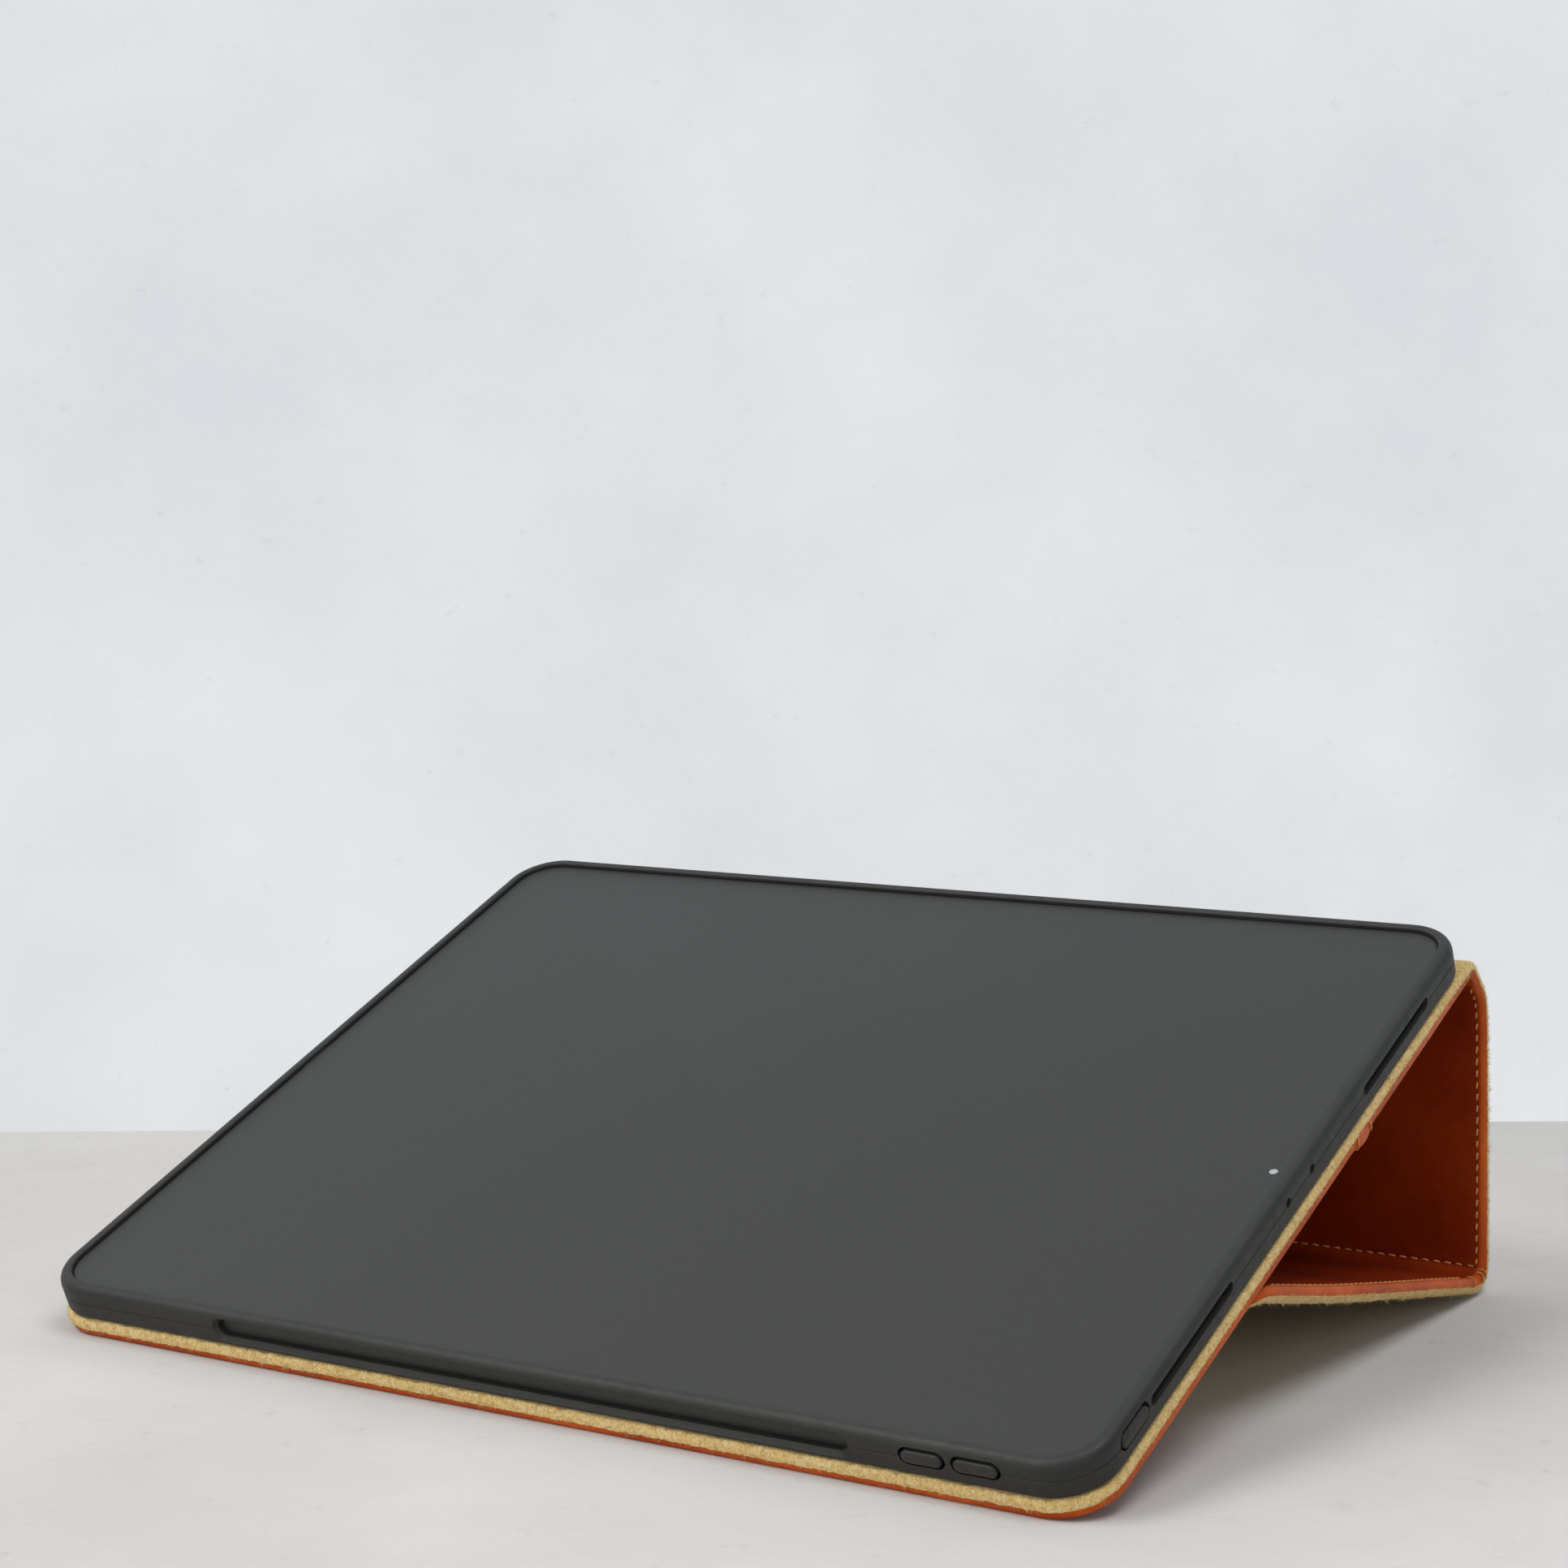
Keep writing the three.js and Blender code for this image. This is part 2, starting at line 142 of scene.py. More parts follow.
class Path:
    """The leather's middle line by its length, which equals v on the back."""

    def __init__(self, soften=1.7, step=0.2):
        ends = [(BACK_Y + v * COS, BACK_Z + v * SIN) for v in (FRONT - 12, 100.0, 218.0)]
        last = np.array(BEND[-1]) + 12 * np.array([-COS, -SIN])
        corners = np.array([*ends, *BEND, tuple(last)])
        at = np.concatenate([[0], np.cumsum(np.linalg.norm(np.diff(corners, axis=0), axis=1))])
        fine = np.arange(0, at[-1], step)
        line = np.stack([np.interp(fine, at, corners[:, k]) for k in (0, 1)], 1)
        reach = int(4 * soften / step)
        kernel = np.exp(-0.5 * (np.arange(-reach, reach + 1) * step / soften) ** 2)
        kernel /= kernel.sum()
        line = np.stack([np.convolve(line[:, k], kernel, "valid") for k in (0, 1)], 1)
        length = np.concatenate([[0], np.cumsum(np.linalg.norm(np.diff(line, axis=0), axis=1))])
        start = (line[0, 0] - BACK_Y) / COS
        self.s = length + start
        self.line = line
        turn = np.gradient(line, axis=0)
        turn /= np.linalg.norm(turn, axis=1)[:, None]
        self.side = np.stack([-turn[:, 1], turn[:, 0]], 1)
        self.end = self.length_at(BEND[-1])

    def length_at(self, point):
        return float(self.s[np.argmin(np.linalg.norm(self.line - np.array(point), axis=1))])

    def point(self, x, s, n):
        """A point at height n, where zero is the line between grain and suede."""
        split = float(np.interp(s, SPLIT_AT, SPLIT))
        half = float(np.interp(s, HALF_AT, HALF))
        n = split + n * (half - split if n > 0 else half + split) / HALF_PANEL
        y, z = (
            np.interp(s, self.s, self.line[:, k]) + n * np.interp(s, self.s, self.side[:, k])
            for k in (0, 1)
        )
        return Vector((x * MM, y * MM, z * MM))


path = Path()
S_SPINE = path.length_at(SPINE_MIDDLE)
S_FOOT = path.length_at(STRUT_FOOT)
S_HEEL = path.length_at(FLAP_HEEL)


# ---------------------------------------------------------------- mesh helpers


def to_object(bm, name, sharp=50.0):
    """A smooth-shaded object from a bmesh, with its hard edges kept."""
    for face in bm.faces:
        face.smooth = True
    limit = math.radians(sharp)
    for edge in bm.edges:
        if len(edge.link_faces) == 2:
            edge.smooth = edge.calc_face_angle(0.0) < limit
    mesh = bpy.data.meshes.new(name)
    bm.to_mesh(mesh)
    bm.free()
    made = bpy.data.objects.new(name, mesh)
    bpy.context.scene.collection.objects.link(made)
    return made


def dress(obj, mat):
    obj.data.materials.clear()
    obj.data.materials.append(mat)
    return obj


def spread(a, b, step):
    return [float(v) for v in np.linspace(a, b, max(1, round(abs(b - a) / step)) + 1)]


def arc(cx, cy, r, a0, a1, step):
    count = max(6, round(r * math.radians(abs(a1 - a0)) / step))
    angles = [math.radians(a0 + (a1 - a0) * i / count) for i in range(count + 1)]
    return [(cx + r * math.cos(a), cy + r * math.sin(a), -math.cos(a), -math.sin(a)) for a in angles]


def chains(s0, s1, near, far, step):
    """Runs of real edge of a leather panel, as (x, s, inward x, inward s)."""
    w, r = HALF_WIDTH, FREE_CORNER if far else CORNER
    low = s0 + r if near else s0
    high = s1 - r if far else s1
    right = [(w, s, -1.0, 0.0) for s in spread(low, high, step)]
    left = [(-w, s, 1.0, 0.0) for s in spread(high, low, step)]
    if far:
        end = (
            arc(w - r, s1 - r, r, 0, 90, step)[1:]
            + [(x, s1, 0.0, -1.0) for x in spread(w - r, r - w, step)[1:-1]]
            + arc(r - w, s1 - r, r, 90, 180, step)[:-1]
        )
        return [right + end + left]
    if near:
        end = (
            arc(r - w, s0 + r, r, 180, 270, step)[1:]
            + [(x, s0, 0.0, 1.0) for x in spread(r - w, w - r, step)[1:-1]]
            + arc(w - r, s0 + r, r, 270, 360, step)[:-1]
        )
        return [left + end + right]
    return [right, left]


def fill(bm, loop, levels, spacing, place, hole=None):
    """Fills a loop of (x, s) with triangles that follow the given levels."""
    shape = np.array(loop)
    nxt = np.roll(shape, -1, axis=0)
    inner = []
    (x0, s0), (x1, s1) = shape.min(0), shape.max(0)
    for s in levels:
        if not s0 + 0.3 < s < s1 - 0.3:
            continue
        for x in spread(x0, x1, spacing)[1:-1]:
            q = np.array([x, s])
            d = nxt - shape
            t = np.clip(((q - shape) * d).sum(1) / np.maximum((d * d).sum(1), 1e-9), 0, 1)
            if np.linalg.norm(shape + t[:, None] * d - q, axis=1).min() < 0.45:
                continue
            if hole and hole_distance(x, s, hole) < 0.45:
                continue
            inner.append((x, s))
    rim = [tuple(p) for p in shape]
    count = len(rim)
    edges = [(i, (i + 1) % count) for i in range(count)]
    points = rim + inner
    if hole:
        ring = window_ring(hole)
        first = len(points)
        points += ring
        edges += [(first + i, first + (i + 1) % len(ring)) for i in range(len(ring))]
    result = delaunay_2d_cdt([Vector(p) for p in points], edges, [list(range(count))], 1, 1e-5)
    verts = [bm.verts.new(place(v.x, v.y)) for v in result[0]]
    for tri in result[2]:
        middle = sum((result[0][i] for i in tri), Vector((0, 0))) / len(tri)
        if hole and hole_distance(middle.x, middle.y, hole) < 0:
            continue
        bm.faces.new([verts[i] for i in tri])


def hole_distance(x, v, size):
    r = WINDOW_CORNER + (size - WINDOW) / 2
    qx = abs(x - WINDOW_X) - size / 2 + r
    qy = abs(v - WINDOW_V) - size / 2 + r
    return math.hypot(max(qx, 0), max(qy, 0)) + min(max(qx, qy), 0) - r


def window_ring(size):
    r = WINDOW_CORNER + (size - WINDOW) / 2
    h = size / 2 - r
    found = []
    for sx, sy, a in ((1, 1, 0), (-1, 1, 90), (-1, -1, 180), (1, -1, 270)):
        for x, y, _, _ in arc(WINDOW_X + sx * h, WINDOW_V + sy * h, r, a, a + 90, 1.4):
            found.append((x, y))
    return found


# Stands for an inset far from any edge.
INSIDE = 99.0


def panel(
    name, s0, s1, rings, near=False, far=False, step=2.0, spacing=7.0, levels=(), relief=None, hole=None
):
    """One side of a leather panel: rings of (inset, height) from its edge to its face, then the face."""
    bm = bmesh.new()

    def place(x, s, inset, n):
        lift = relief(x, s, inset, n) if relief else 0.0
        return path.point(x, s, n + lift)

    runs = chains(s0, s1, near, far, step)
    for run in runs:
        grid = []
        for inset, n in rings:
            row = [
                bm.verts.new(place(x + ix * inset, s + i_s * inset, inset, n))
                for x, s, ix, i_s in run
            ]
            grid.append(row)
        for a, b in zip(grid, grid[1:]):
            for i in range(len(a) - 1):
                bm.faces.new((a[i], a[i + 1], b[i + 1], b[i]))

    def outline(inset):
        """The loop at one inset: the runs of real edge, joined across the cut ends."""
        found = []
        for i, run in enumerate(runs):
            found += [(x + ix * inset, s + i_s * inset) for x, s, ix, i_s in run]
            after = runs[(i + 1) % len(runs)][0]
            bx, bs = after[0] + after[2] * inset, after[1] + after[3] * inset
            ax, a_s = found[-1]
            found += [(x, a_s) for x in spread(ax, bx, spacing)[1:-1]]
        return found

    inset, n = rings[-1]
    fill(bm, outline(inset), levels, spacing, lambda x, s: place(x, s, INSIDE, n), hole)
    inset0, n0 = rings[0]
    middle_inset = INSIDE if inset0 else 0.0
    fill(bm, outline(inset0), levels, spacing * 3, lambda x, s: place(x, s, middle_inset, n0), hole)
    for s in ([] if near else [s0]) + ([] if far else [s1]):
        w = HALF_WIDTH
        cap = [place(-w + e, s, e, h) for e, h in rings]
        cap += [place(x, s, INSIDE, n) for x in spread(-w + inset, w - inset, spacing)[1:-1]]
        cap += [place(w - e, s, e, h) for e, h in reversed(rings)]
        cap += [place(x, s, INSIDE, n0) for x in spread(w - inset0, -w + inset0, spacing)[1:-1]]
        bm.faces.new([bm.verts.new(p) for p in cap])
    if hole:
        ring = window_ring(hole)
        low = [bm.verts.new(place(x, s, INSIDE, n0)) for x, s in ring]
        high = [bm.verts.new(place(x, s, INSIDE, n)) for x, s in ring]
        for i in range(len(ring)):
            j = (i + 1) % len(ring)
            if (low[i].co - low[j].co).length > 1e-7:
                bm.faces.new((low[i], low[j], high[j], high[i]))
    bmesh.ops.remove_doubles(bm, verts=bm.verts, dist=2e-6)
    bmesh.ops.recalc_face_normals(bm, faces=bm.faces)
    return to_object(bm, name)


def round_edge(reach, height, first, power=1.0, count=8):
    """Rings of an edge that rounds from the middle line to the face."""
    found = []
    for i in range(count + 1):
        a = math.radians(90 * i / count)
        found.append((first + reach * (1 - math.cos(a)) ** power, height * math.sin(a)))
    return found


# ---------------------------------------------------------------- leather

# Depth of the dip that a row of stitches pulls, and where beside a seam it is looked for.
GROOVE = 0.28
SEAM_NEAR, SEAM_FAR = 2.0, 6.0
# The dips and the faint wave are on the face, below this height.
GRAIN_FACE = -1.9
WAVE, WAVE_SIZE = 0.05, 14.0


def groove(distance, width=0.65):
    return math.exp(-((distance / width) ** 2))


def ripple(x, s, size, seed=0.0):
    return noise.noise(Vector((x / size, s / size, seed)))


def grain_relief(rows):
    """Dips along the side seams and along cross rows of stitches, with a faint wave."""

    def relief(x, s, inset, n):
        if n > GRAIN_FACE:
            return 0.0
        depth = 0.0
        for row in rows:
            depth = max(depth, groove(s - row))
        side = HALF_WIDTH - abs(x)
        if SEAM_INSET - SEAM_NEAR < side < SEAM_FAR:
            depth = max(depth, groove(side - SEAM_INSET))
        if inset < INSIDE:
            depth = max(depth, groove(inset - SEAM_INSET))
        return GROOVE * depth + WAVE * ripple(x, s, WAVE_SIZE)

    return relief


# How rough the suede is along its edges, in its middle, and at the spine where it passes the tray.
EDGE_ROUGH, MIDDLE_ROUGH, SPINE_ROUGH = 1.0, 0.35, 0.12
EDGE_BAND = 12
SPINE_BEFORE, SPINE_AFTER = 12, 14
# The strut's suede dips by this much at mid height, so that it clears the tray's lip when closed.
STRUT_HOLLOW = 0.6


def suede_relief(x, s, inset, n):
    near = EDGE_ROUGH if inset < EDGE_BAND else MIDDLE_ROUGH
    if S_SPINE - SPINE_BEFORE < s < S_SPINE + SPINE_AFTER:
        near = SPINE_ROUGH
    lift = near * (0.34 * ripple(x, s, 0.9, n) + 0.26 * ripple(x, s, 2.4, 3 + n))
    if S_SPINE < s < S_FOOT:
        lift -= STRUT_HOLLOW * math.sin(math.pi * (s - S_SPINE) / (S_FOOT - S_SPINE))
    return lift


FLAT_RINGS = [
    (2.0, -HALF_PANEL),
    (2.25, -HALF_PANEL),
    (2.5, -HALF_PANEL),
    (2.75, -HALF_PANEL),
    (3.1, -HALF_PANEL),
    (4.5, -HALF_PANEL),
]
GRAIN_RINGS = round_edge(1.6, -HALF_PANEL, 0.2) + FLAT_RINGS
BACK_RINGS = round_edge(0.75, -HALF_PANEL, 0.12) + [(1.6, -HALF_PANEL)] + FLAT_RINGS
SUEDE_RINGS = round_edge(1.1, HALF_PANEL, 0.0, 0.8, 7) + [
    (1.7, HALF_PANEL),
    (2.5, HALF_PANEL),
    (3.6, HALF_PANEL),
]


def around(*rows):
    """Levels close together at each cross row."""
    return [row + d for row in rows for d in (-1.5, -0.9, -0.5, -0.25, 0, 0.25, 0.5, 0.9, 1.5)]


def with_levels(s0, s1, step, extra=()):
    return sorted({round(v, 3) for v in spread(s0, s1, step) + [e for e in extra if s0 < e < s1]})


# Cross rows of stitches, and where the side seams of the strut and the flap start.
STRIP_ROWS = [STRIP_FROM - 3, STRIP_TO + 3]
S_STRUT_TOP = S_SPINE + 1.0
STRUT_ROW = path.length_at((108.6, 6.0))
FLAP_ROW = S_HEEL + 2.6

parts = {}
parts["back_grain"] = panel(
    "back_grain",
    FRONT,
    S_SPINE,
    BACK_RINGS,
    near=True,
    levels=with_levels(FRONT, 212, 8.0, around(*STRIP_ROWS)) + spread(214, S_SPINE, 0.8),
    relief=grain_relief(STRIP_ROWS),
    hole=WINDOW + 1,
)
parts["back_suede_side"] = panel(
    "back_suede_side",
    FRONT,
    S_SPINE,
    SUEDE_RINGS,
    near=True,
    step=0.7,
    spacing=6.0,
    levels=spread(FRONT, 212, 8.0) + spread(214, S_SPINE, 0.8),
    relief=suede_relief,
    hole=WINDOW + 1,
)
parts["strut_grain"] = panel(
    "strut_grain",
    S_SPINE,
    S_FOOT,
    GRAIN_RINGS,
    levels=spread(S_SPINE, S_SPINE + 14, 0.8) + with_levels(S_SPINE + 16, S_FOOT, 5.0, around(STRUT_ROW)),
    relief=grain_relief([STRUT_ROW]),
)
parts["strut_suede_side"] = panel(
    "strut_suede_side",
    S_SPINE,
    S_FOOT,
    SUEDE_RINGS,
    step=0.7,
    spacing=3.0,
    levels=spread(S_SPINE, S_SPINE + 14, 0.8) + spread(S_SPINE + 16, S_FOOT, 3.0),
    relief=suede_relief,
)
parts["fold_grain"] = panel(
    "fold_grain",
    S_FOOT,
    S_HEEL,
    GRAIN_RINGS,
    step=0.5,
    levels=spread(S_FOOT, S_HEEL, 0.5),
    relief=None,
)
parts["fold_suede_side"] = panel(
    "fold_suede_side",
    S_FOOT,
    S_HEEL,
    SUEDE_RINGS,
    step=0.5,
    spacing=3.0,
    levels=spread(S_FOOT, S_HEEL, 0.6),
    relief=suede_relief,
)
parts["flap_grain"] = panel(
    "flap_grain",
    S_HEEL,
    path.end,
    GRAIN_RINGS,
    far=True,
    levels=with_levels(S_HEEL, path.end - 22, 6.0) + spread(path.end - 20, path.end, 1.0),
    relief=grain_relief([]),
)
parts["flap_suede_side"] = panel(
    "flap_suede_side",
    S_HEEL,
    path.end,
    SUEDE_RINGS,
    far=True,
    step=0.7,
    spacing=3.5,
    levels=spread(S_HEEL, path.end - 22, 4.0) + spread(path.end - 20, path.end, 1.0),
    relief=suede_relief,
)


# ---------------------------------------------------------------- stitches and nap

# Widths of the threads, and half the length of a stitch.
SEAM_THREAD, WRAP_THREAD, WRAP_UNDER = 0.62, 0.55, 0.5
HALF_STITCH = 1.15


def bead(bm, centre, direction, up, length, width):
    """One stitch: a short rounded length of thread with its ends dipping in."""
    side = direction.cross(up).normalized()
    up = side.cross(direction).normalized()
    rows = []
    count, sides = 6, 6
    for i in range(count + 1):
        t = i / count * 2 - 1
        radius = width / 2 * math.sqrt(max(0.0, 1 - abs(t) ** 3.2))
        sink = -0.5 * width * abs(t) ** 3
        middle = centre + direction * (t * length / 2) + up * sink
        if i in (0, count):
            rows.append([bm.verts.new(middle)])
            continue
        rows.append(
            [
                bm.verts.new(
                    middle
                    + side * (radius * math.cos(math.tau * k / sides))
                    + up * (radius * math.sin(math.tau * k / sides))
                )
                for k in range(sides)
            ]
        )
    for a, b in zip(rows, rows[1:]):
        for k in range(sides):
            k2 = (k + 1) % sides
            if len(a) == 1:
                bm.faces.new((a[0], b[k2], b[k]))
            elif len(b) == 1:
                bm.faces.new((a[k], a[k2], b[0]))
            else:
                bm.faces.new((a[k], a[k2], b[k2], b[k]))


def stitch_line(bm, points, dice, skip=None):
    """Stitches at an even pitch along points of (x, s)."""
    line = np.array(points)
    at = np.concatenate([[0], np.cumsum(np.linalg.norm(np.diff(line, axis=0), axis=1))])
    count = int(at[-1] / PITCH)
    for i in range(count):
        middle = (i + 0.5) * at[-1] / count
        ends = []
        for d in (-HALF_STITCH, HALF_STITCH):
            x, s = (np.interp(middle + d, at, line[:, k]) for k in (0, 1))
            ends.append((x, s))
        (xa, sa), (xb, sb) = ends
        ax, a_s = xb - xa, sb - sa
        size = math.hypot(ax, a_s) or 1.0
        slant = 0.16 + dice.uniform(-0.04, 0.04)
        ox, os_ = -a_s / size * slant, ax / size * slant
        n = -HALF_PANEL + GROOVE - 0.13
        a = path.point(xa - ox, sa - os_, n)
        b = path.point(xb + ox, sb + os_, n)
        c = path.point((xa + xb) / 2, (sa + sb) / 2, n)
        up = (path.point((xa + xb) / 2, (sa + sb) / 2, n - 1) - c).normalized()
        bead(bm, c, (b - a).normalized(), up, (b - a).length, SEAM_THREAD * MM)


def stitches(name, lines):
    bm = bmesh.new()
    dice = random.Random(name)
    for line in lines:
        stitch_line(bm, line, dice)
    bmesh.ops.recalc_face_normals(bm, faces=bm.faces)
    return to_object(bm, name, 80)


def wraps(name, places):
    """Short threads that wrap over the side edges, at lengths along the path."""
    bm = bmesh.new()
    for s, lean in places:
        for side in (-1, 1):
            x = side * (HALF_WIDTH + 0.05)
            top, low = path.point(x, s + lean, 0.4), path.point(x, s - lean, -HALF_PANEL - 0.25)
            down, outward = low - top, Vector((side, 0, 0))
            bead(bm, (top + low) / 2, down.normalized(), outward, down.length, WRAP_THREAD * MM)
            inner = path.point(x - side * 2.3, s - lean, -HALF_PANEL - 0.1)
            up = (path.point(x, s, -3.0) - path.point(x, s, -2.0)).normalized()
            under = inner - low
            bead(bm, (low + inner) / 2, under.normalized(), up, under.length, WRAP_UNDER * MM)
    bmesh.ops.recalc_face_normals(bm, faces=bm.faces)
    return to_object(bm, name, 80)


def seam_run(s0, s1, near, far):
    runs = chains(s0, s1, near, far, 1.0)
    return [[(x + ix * SEAM_INSET, s + i_s * SEAM_INSET) for x, s, ix, i_s in run] for run in runs]


def cross_row(s):
    return [(-HALF_WIDTH + SEAM_INSET, s), (HALF_WIDTH - SEAM_INSET, s)]


parts["back_stitches"] = stitches(
    "back_stitches",
    seam_run(FRONT, STRIP_ROWS[0], True, False)
    + [cross_row(row) for row in STRIP_ROWS]
    + seam_run(STRIP_ROWS[1], 214, False, False),
)
parts["strut_stitches"] = stitches(
    "strut_stitches", seam_run(S_STRUT_TOP, STRUT_ROW, False, False) + [cross_row(STRUT_ROW)]
)
parts["flap_stitches"] = stitches(
    "flap_stitches", seam_run(FLAP_ROW, path.end - FREE_CORNER - 2, False, False)
)
parts["fold_wraps"] = wraps(
    "fold_wraps", [(S_FOOT + 1.2, 0.5), (S_FOOT + 3.6, 0.6), (S_HEEL - 1.5, -0.5)]
)
parts["strip_wraps"] = wraps("strip_wraps", [(STRIP_FROM + 1.0, 0.3), (STRIP_TO - 1.0, -0.3)])


RIDGE_STEPS = 16
RIDGE_HEIGHT = 0.75


def fold_ridge():
    """Strip of leather that bulges across the back, with rounded long edges."""
    bm = bmesh.new()
    rows = []
    for i in range(RIDGE_STEPS + 1):
        s = STRIP_FROM + (STRIP_TO - STRIP_FROM) * i / RIDGE_STEPS
        lift = RIDGE_HEIGHT * math.sin(math.pi * i / RIDGE_STEPS) ** 0.6
        inset = 0.7 * (1 - math.sin(math.pi * i / RIDGE_STEPS) ** 0.5)
        w = HALF_WIDTH + 0.12 - inset
        under = [path.point(x, s, -HALF_PANEL - lift) for x in spread(-w + 0.8, w - 0.8, 6.0)]
        corner = [(0.0, 0.2), (0.0, -1.5 - lift), (0.25, -2.0 - lift)]
        left = [path.point(-w + e, s, n) for e, n in corner]
        right = [path.point(w - e, s, n) for e, n in reversed(corner)]
        inner = [path.point(w - 1.0, s, 0.2), path.point(-w + 1.0, s, 0.2)]
        rows.append([bm.verts.new(p) for p in left + under + right + inner])
    count = len(rows[0])
    for a, b in zip(rows, rows[1:]):
        for i in range(count):
            j = (i + 1) % count
            bm.faces.new((a[i], a[j], b[j], b[i]))
    bm.faces.new(list(reversed(rows[0])))
    bm.faces.new(rows[-1])
    bmesh.ops.recalc_face_normals(bm, faces=bm.faces)
    return to_object(bm, "back_fold_ridge")


parts["back_fold_ridge"] = fold_ridge()


# The share of fibres that hang, and each fibre's length and width.
HANGING = 0.35
FIBRE_LENGTH = (0.3, 0.7)
FIBRE_WIDTH = (0.05, 0.11)


def nap(name, s0, s1, near, far, per_mm, dice_name, longer=1.0):
    """Loose fibres along the suede's edge, each a thin blade."""
    bm = bmesh.new()
    dice = random.Random(dice_name)
    for run in chains(s0, s1, near, far, 0.5):
        line = np.array(run)
        at = np.concatenate([[0], np.cumsum(np.linalg.norm(np.diff(line[:, :2], axis=0), axis=1))])
        for _ in range(int(at[-1] * per_mm)):
            q = dice.uniform(0, at[-1])
            x, s, ix, i_s = (float(np.interp(q, at, line[:, k])) for k in range(4))
            hanging = dice.random() < HANGING
            a = math.radians(dice.uniform(-6, 22) if hanging else dice.uniform(0, 90))
            inset = 1.1 * (1 - math.cos(max(a, 0))) ** 0.8 - 0.05
            n = HALF_PANEL * math.sin(a)
            root = path.point(x + ix * inset, s + i_s * inset, n)
            base = path.point(x, s, 0)
            out = (path.point(x - ix, s - i_s, 0) - base).normalized()
            up = (path.point(x, s, 1) - base).normalized()
            run_dir = out.cross(up).normalized()
            clump = max(0.0, 0.35 + 1.3 * ripple(x, s, 1.6, 7.0))
            aim = out * math.cos(a) + up * math.sin(a) + run_dir * dice.uniform(-1.1, 1.1)
            rise = dice.uniform(-1.6, -0.5) if hanging else dice.uniform(-0.6, 0.35)
            aim += up * rise + out * 0.2
            length = dice.uniform(*FIBRE_LENGTH) * (0.35 + 1.4 * clump) * MM * longer
            wide = dice.uniform(*FIBRE_WIDTH) * MM
            tip = root + aim.normalized() * length
            across = aim.cross(Vector([dice.uniform(-1, 1) for _ in range(3)]))
            if across.length < 1e-6:
                continue
            across.normalize()
            root = root - aim.normalized() * 0.12 * MM
            blade = (root + across * wide / 2, root - across * wide / 2, tip)
            bm.faces.new([bm.verts.new(p) for p in blade])
    return to_object(bm, name, 180)


parts["back_nap"] = nap("back_nap", FRONT, S_SPINE, True, False, 16, "nap one")
parts["strut_nap"] = nap("strut_nap", S_SPINE, S_FOOT, False, False, 16, "nap two")
parts["fold_nap"] = nap("fold_nap", S_FOOT, S_HEEL, False, False, 16, "nap three")
parts["flap_nap"] = nap("flap_nap", S_HEEL, path.end, False, True, 20, "nap four", 1.7)


# ---------------------------------------------------------------- tray


def tray_ring(inset, z, step=1.6):
    w, r = SHELL_X, SHELL_CORNER
    found = []
    far = SHELL_DEPTH - r
    for cx, cy, a in ((r - w, r, 180), (w - r, r, 270), (w - r, far, 0), (r - w, far, 90)):
        for x, y, ix, iy in arc(cx, cy, r, a, a + 90, step):
            found.append((x + ix * inset, y + iy * inset, z))
    return found


# The tray's wall as (inset, height), up its outside with the parting line, over the lip and down inside.
TRAY_PROFILE = [
    (1.3, 0.0),
    (0.8, 0.12),
    (0.4, 0.4),
    (0.12, 0.8),
    (0.0, 1.2),
    (0.0, 4.22),
    (0.22, 4.44),
    (0.22, 4.58),
    (0.0, 4.80),
    (0.0, 6.5),
    (0.06, 7.05),
    (0.2, 7.55),
    (0.42, 8.02),
    (0.72, 8.4),
    (1.1, 8.68),
    (1.55, 8.88),
    (2.05, 8.98),
    (2.5, 9.0),
    (2.85, 8.95),
    (3.1, 8.84),
    (3.25, 8.66),
    (LIP_INSET, 8.4),
    (LIP_INSET, 7.8),
    (WALL, 7.8),
    (WALL, 1.7),
    (2.55, 1.35),
    (2.9, SHELL_FLOOR),
]


def tray_mesh():
    bm = bmesh.new()
    rows = []
    for inset, height in TRAY_PROFILE:
        ring = tray_ring(inset, height)
        rows.append([bm.verts.new(on_back(x, y, z + SHELL_BASE)) for x, y, z in ring])
    count = len(rows[0])
    for a, b in zip(rows, rows[1:]):
        for i in range(count):
            j = (i + 1) % count
            bm.faces.new((a[i], a[j], b[j], b[i]))
    bm.faces.new(list(reversed(rows[0])))
    bm.faces.new(rows[-1])
    bmesh.ops.recalc_face_normals(bm, faces=bm.faces)
    return bm


def pill_solid(wall, at, level, length, height, depth_from, depth_to, steps=14, taper=()):
    """A round-ended bar standing through a wall, outwards from depth_from to depth_to or along a taper."""
    r = height / 2
    bm = bmesh.new()
    rows = []
    for depth, shrink in [(depth_from, 0.0), *(taper or [(depth_to, 0.0)])]:
        row = []
        for side, a0 in ((1, -90), (-1, 90)):
            for i in range(steps + 1):
                a = math.radians(a0 + 180 * i / steps)
                u = side * (length / 2 - r) + (r - shrink) * math.cos(a)
                w = (r - shrink) * math.sin(a)
                row.append(wall_point(wall, at + u, level + w, depth))
        rows.append([bm.verts.new(p) for p in row])
    count = len(rows[0])
    for a, b in zip(rows, rows[1:]):
        for i in range(count):
            j = (i + 1) % count
            bm.faces.new((a[i], a[j], b[j], b[i]))
    bm.faces.new(list(reversed(rows[0])))
    bm.faces.new(rows[-1])
    bmesh.ops.recalc_face_normals(bm, faces=bm.faces)
    return bm


def wall_point(wall, at, level, depth):
    n = SHELL_BASE + level
    if wall == "front":
        return on_back(at, -depth, n)
    if wall == "right":
        return on_back(SHELL_X + depth, at, n)
    return on_back(-SHELL_X - depth, at, n)


